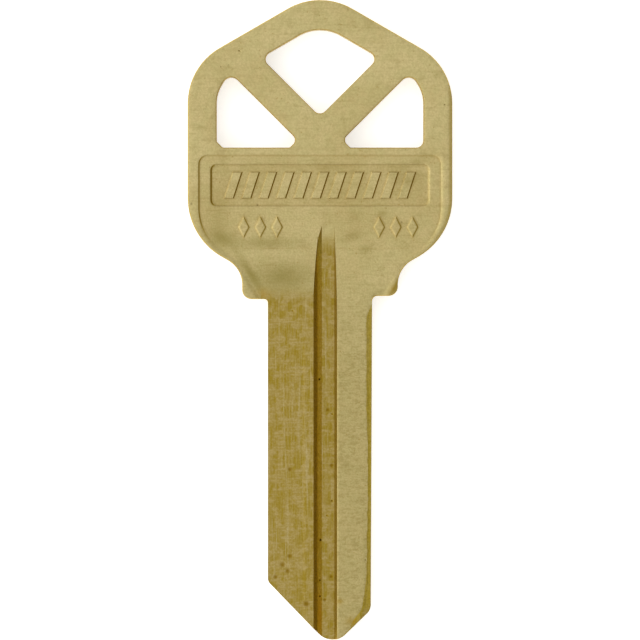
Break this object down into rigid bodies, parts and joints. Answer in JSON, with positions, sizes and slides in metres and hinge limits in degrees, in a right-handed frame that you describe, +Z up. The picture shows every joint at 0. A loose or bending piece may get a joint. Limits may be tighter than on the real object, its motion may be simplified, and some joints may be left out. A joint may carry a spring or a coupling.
{
  "type": "key blank",
  "caption": "Flat uncut brass house-key blank: a stamped bow with openings, two shoulders and a grooved blade with a pointed tip.",
  "frame": {"origin": "middle of the blank's footprint, on the face that it lies on", "axes": "+Z up through the thickness, with the marked face up; +Y along the blank from the tip to the crown of the bow; +X across it, from the edge where the cuts go to the spine"},
  "size_m": [0.0216, 0.0522, 0.0021],
  "materials": {
    "brass": "dull stamped and tumbled brass, milled at the blade"
  },
  "bodies": {
    "root": {"key_blank": "brass"}
  },
  "joints": []
}
